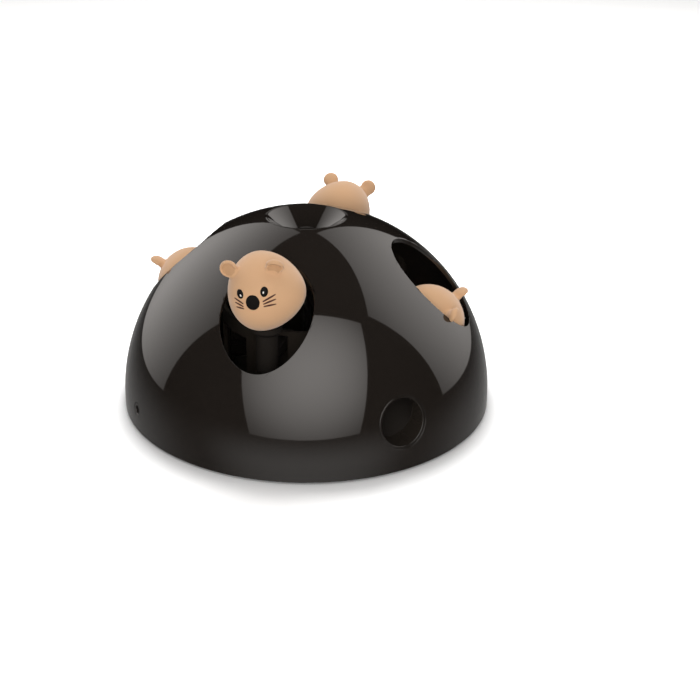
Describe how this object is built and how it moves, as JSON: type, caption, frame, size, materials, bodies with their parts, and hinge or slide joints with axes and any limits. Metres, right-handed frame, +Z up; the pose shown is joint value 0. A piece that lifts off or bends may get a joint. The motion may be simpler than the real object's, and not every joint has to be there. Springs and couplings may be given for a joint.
{
  "type": "electronic mouse chase cat toy",
  "caption": "Glossy dome cat toy whose mouse heads pop up and down through holes on a motor-driven face cam, with a treat funnel, feed disc and outlet chute.",
  "frame": {"origin": "centre of the dome's footprint on the floor", "axes": "+Z up; the treat outlet faces -Y and the power socket faces -X; the mice stand on the diagonals"},
  "size_m": [0.24, 0.24, 0.128],
  "materials": {
    "dome_plastic": "glossy near-black plastic",
    "inner_plastic": "matt dark grey plastic",
    "base_plastic": "matt black plastic",
    "mouse_plastic": "matt warm beige plastic",
    "black_bead": "matt black",
    "eye_bead": "glossy black",
    "gear_plastic": "ivory acetal",
    "steel": "turned steel",
    "brass": "turned brass",
    "rubber": "matt black rubber",
    "board": "green solder mask",
    "battery": "printed cell sleeve",
    "contact": "nickel plate"
  },
  "bodies": {
    "housing": {"dome_shell": "dome_plastic", "treat_funnel": "dome_plastic", "feed_hopper": "inner_plastic", "treat_chute": "inner_plastic", "outlet_collar": "dome_plastic", "base_plate": "base_plastic", "battery_door": "base_plastic", "battery_cells": "battery", "battery_contacts": "contact", "rubber_feet": "rubber", "case_screws": "steel", "hopper_screws": "steel", "cage_screws": "steel", "guide_cage": "inner_plastic", "guide_rods": "steel", "shaft_bush": "brass", "gearbox": "gear_plastic", "motor": "steel", "motor_strap": "inner_plastic", "circuit_board": "board", "power_socket": "black_bead", "socket_pin": "contact", "switch_body": "black_bead"},
    "cam": {"face_cam": "gear_plastic", "drive_gear": "gear_plastic", "cam_shaft": "steel", "feed_disc": "gear_plastic"},
    "pinion": {"motor_pinion": "brass", "gearbox_shaft": "steel"},
    "front_left_mouse": {"front_left_head": "mouse_plastic", "front_left_nose": "black_bead", "front_left_eyes": "eye_bead", "front_left_plunger": "gear_plastic"},
    "front_right_mouse": {"front_right_head": "mouse_plastic", "front_right_nose": "black_bead", "front_right_eyes": "eye_bead", "front_right_plunger": "gear_plastic"},
    "rear_right_mouse": {"rear_right_head": "mouse_plastic", "rear_right_nose": "black_bead", "rear_right_eyes": "eye_bead", "rear_right_plunger": "gear_plastic"},
    "rear_left_mouse": {"rear_left_head": "mouse_plastic", "rear_left_nose": "black_bead", "rear_left_eyes": "eye_bead", "rear_left_plunger": "gear_plastic"},
    "switch": {"switch_knob": "black_bead"}
  },
  "joints": [
    {"name": "cam_turn", "type": "hinge", "parent": "housing", "child": "cam", "pos_m": [0, 0, 0.05], "axis": [0, 0, 1], "range_deg": [0, 90]},
    {"name": "pinion_turn", "type": "hinge", "parent": "housing", "child": "pinion", "pos_m": [0.05612, 0, 0.01], "axis": [0, 0, 1], "range_deg": [-540, 0]},
    {"name": "front_left_rise", "type": "slide", "parent": "housing", "child": "front_left_mouse", "axis": [0, 0, 1], "range_m": [-0.034, 0]},
    {"name": "front_right_rise", "type": "slide", "parent": "housing", "child": "front_right_mouse", "axis": [0, 0, 1], "range_m": [0, 0.041]},
    {"name": "rear_right_rise", "type": "slide", "parent": "housing", "child": "rear_right_mouse", "axis": [0, 0, 1], "range_m": [-0.037, 0]},
    {"name": "rear_left_rise", "type": "slide", "parent": "housing", "child": "rear_left_mouse", "axis": [0, 0, 1], "range_m": [0, 0.03]},
    {"name": "switch_slide", "type": "slide", "parent": "housing", "child": "switch", "axis": [0, 1, 0], "range_m": [0, 0.004]}
  ],
  "couplings": [
    {"joint": "pinion_turn", "follows": "cam_turn", "ratio": -6},
    {"joint": "front_left_rise", "follows": "cam_turn", "m_per_rad": -0.021327},
    {"joint": "front_right_rise", "follows": "cam_turn", "m_per_rad": 0.025783},
    {"joint": "rear_right_rise", "follows": "cam_turn", "m_per_rad": -0.023237},
    {"joint": "rear_left_rise", "follows": "cam_turn", "m_per_rad": 0.01878}
  ]
}
